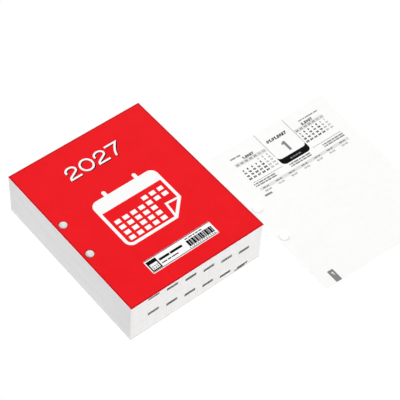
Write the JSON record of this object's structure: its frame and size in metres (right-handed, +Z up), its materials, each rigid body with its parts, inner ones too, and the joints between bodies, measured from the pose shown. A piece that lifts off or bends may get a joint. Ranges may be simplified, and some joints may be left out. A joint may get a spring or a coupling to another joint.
{
  "type": "tear-off day calendar",
  "caption": "Glued block of tear-off day leaves with month index marks, red card cover, greyboard back and two punched post holes, with its first day leaf torn off beside it.",
  "frame": {"origin": "middle of the backing board's underside, on the table", "axes": "+X from the glued edge to the free edge of a leaf, +Y from a leaf's foot to its head, +Z up through the cover"},
  "size_m": [0.1982, 0.153, 0.0292],
  "materials": {
    "cover_card": "coated card, printed red",
    "leaf_paper": "uncoated white paper",
    "padding_glue": "satin dried glue",
    "greyboard": "raw greyboard",
    "label_paper": "white label paper"
  },
  "bodies": {
    "backing": {"backing_board": "greyboard"},
    "december": {"december_leaves": "leaf_paper", "december_glue": "padding_glue"},
    "november": {"november_leaves": "leaf_paper", "november_glue": "padding_glue"},
    "october": {"october_leaves": "leaf_paper", "october_glue": "padding_glue"},
    "september": {"september_leaves": "leaf_paper", "september_glue": "padding_glue"},
    "august": {"august_leaves": "leaf_paper", "august_glue": "padding_glue"},
    "july": {"july_leaves": "leaf_paper", "july_glue": "padding_glue"},
    "june": {"june_leaves": "leaf_paper", "june_glue": "padding_glue"},
    "may": {"may_leaves": "leaf_paper", "may_glue": "padding_glue"},
    "april": {"april_leaves": "leaf_paper", "april_glue": "padding_glue"},
    "march": {"march_leaves": "leaf_paper", "march_glue": "padding_glue"},
    "february": {"february_leaves": "leaf_paper", "february_glue": "padding_glue"},
    "january": {"january_leaves": "leaf_paper", "january_glue": "padding_glue"},
    "leaf_4": {"day_leaf_4": "leaf_paper"},
    "leaf_3": {"day_leaf_3": "leaf_paper"},
    "leaf_2": {"day_leaf_2": "leaf_paper"},
    "cover": {"front_cover": "cover_card", "cover_label": "label_paper"},
    "loose_leaf": {"loose_day_leaf": "leaf_paper"}
  },
  "joints": [
    {"name": "december_turn", "type": "hinge", "parent": "backing", "child": "december", "pos_m": [-0.0454, 0, 0.00059], "axis": [0, -1, 0], "range_deg": [0, 5]},
    {"name": "november_turn", "type": "hinge", "parent": "december", "child": "november", "pos_m": [-0.0454, 0, 0.00299], "axis": [0, -1, 0], "range_deg": [0, 5]},
    {"name": "october_turn", "type": "hinge", "parent": "november", "child": "october", "pos_m": [-0.0454, 0, 0.00531], "axis": [0, -1, 0], "range_deg": [0, 5]},
    {"name": "september_turn", "type": "hinge", "parent": "october", "child": "september", "pos_m": [-0.0454, 0, 0.0077], "axis": [0, -1, 0], "range_deg": [0, 5]},
    {"name": "august_turn", "type": "hinge", "parent": "september", "child": "august", "pos_m": [-0.0454, 0, 0.01002], "axis": [0, -1, 0], "range_deg": [0, 5]},
    {"name": "july_turn", "type": "hinge", "parent": "august", "child": "july", "pos_m": [-0.0454, 0, 0.01242], "axis": [0, -1, 0], "range_deg": [0, 5]},
    {"name": "june_turn", "type": "hinge", "parent": "july", "child": "june", "pos_m": [-0.0454, 0, 0.01481], "axis": [0, -1, 0], "range_deg": [0, 5]},
    {"name": "may_turn", "type": "hinge", "parent": "june", "child": "may", "pos_m": [-0.0454, 0, 0.01713], "axis": [0, -1, 0], "range_deg": [0, 5]},
    {"name": "april_turn", "type": "hinge", "parent": "may", "child": "april", "pos_m": [-0.0454, 0, 0.01953], "axis": [0, -1, 0], "range_deg": [0, 5]},
    {"name": "march_turn", "type": "hinge", "parent": "april", "child": "march", "pos_m": [-0.0454, 0, 0.02185], "axis": [0, -1, 0], "range_deg": [0, 5]},
    {"name": "february_turn", "type": "hinge", "parent": "march", "child": "february", "pos_m": [-0.0454, 0, 0.02425], "axis": [0, -1, 0], "range_deg": [0, 5]},
    {"name": "january_turn", "type": "hinge", "parent": "february", "child": "january", "pos_m": [-0.0454, 0, 0.02641], "axis": [0, -1, 0], "range_deg": [0, 5]},
    {"name": "leaf_4_turn", "type": "hinge", "parent": "january", "child": "leaf_4", "pos_m": [-0.0454, 0, 0.02851], "axis": [0, -1, 0], "range_deg": [0, 5]},
    {"name": "leaf_3_turn", "type": "hinge", "parent": "leaf_4", "child": "leaf_3", "pos_m": [-0.0454, 0, 0.02862], "axis": [0, -1, 0], "range_deg": [0, 5]},
    {"name": "leaf_2_turn", "type": "hinge", "parent": "leaf_3", "child": "leaf_2", "pos_m": [-0.0454, 0, 0.02874], "axis": [0, -1, 0], "range_deg": [0, 5]},
    {"name": "cover_turn", "type": "hinge", "parent": "leaf_2", "child": "cover", "pos_m": [-0.0454, 0, 0.02885], "axis": [0, -1, 0], "range_deg": [0, 115]},
    {"name": "loose_leaf_lift", "type": "slide", "parent": "backing", "child": "loose_leaf", "axis": [0, 0, 1], "range_m": [0, 0.06]}
  ]
}
